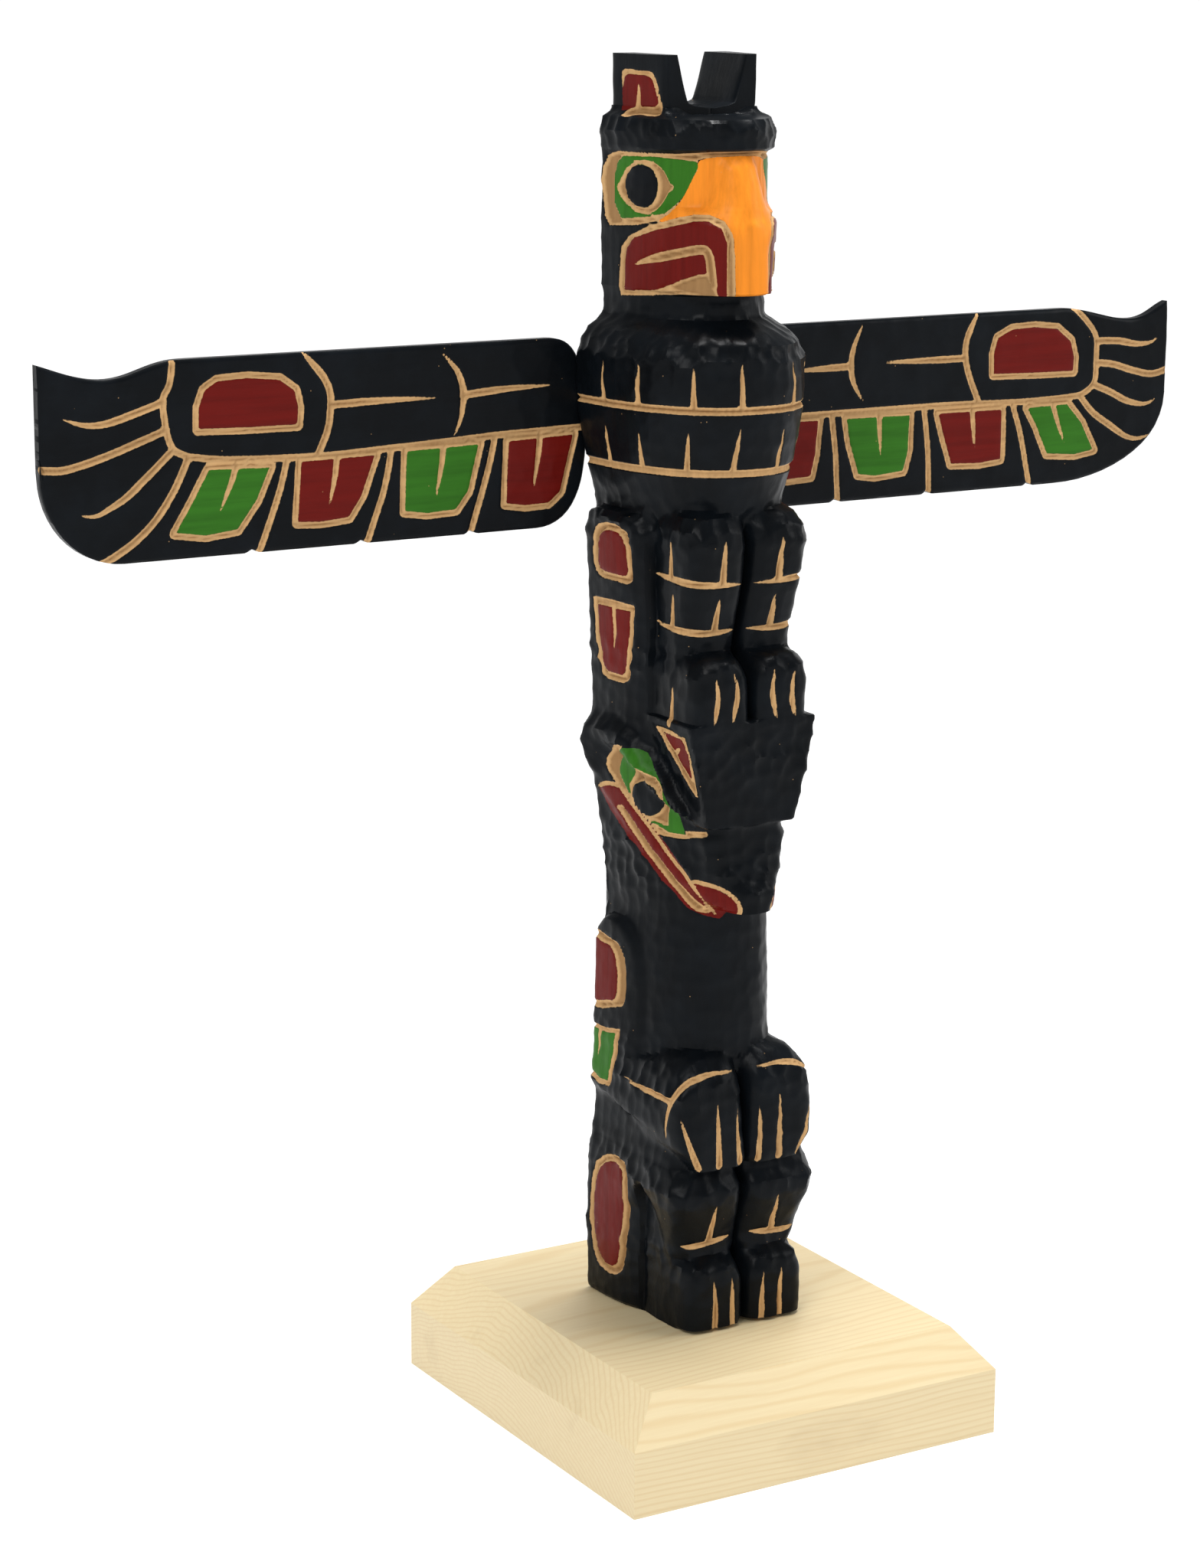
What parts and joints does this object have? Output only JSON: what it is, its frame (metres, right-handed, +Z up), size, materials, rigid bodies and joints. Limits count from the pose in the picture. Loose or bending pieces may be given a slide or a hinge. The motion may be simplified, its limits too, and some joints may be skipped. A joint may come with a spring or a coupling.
{
  "type": "totem pole",
  "caption": "Carved and painted cedar totem pole: an eagle with spread wing boards above a seated bear, standing on a bevelled board.",
  "frame": {"origin": "middle of the base board's underside", "axes": "+Z up, the figures face -Y, +X runs to the right as seen from the front"},
  "size_m": [0.722, 0.254, 0.7603],
  "materials": {
    "bare_wood": "planed yellow cedar, unfinished, soft sheen",
    "black_paint": "satin black paint over knife-cut facets, with red, green, orange and bare wood carving",
    "wing_paint": "satin black paint with red and green forms in bare wood grooves"
  },
  "bodies": {
    "root": {"base_board": "bare_wood", "pole": "black_paint", "right_wing": "wing_paint", "left_wing": "wing_paint"}
  },
  "joints": []
}
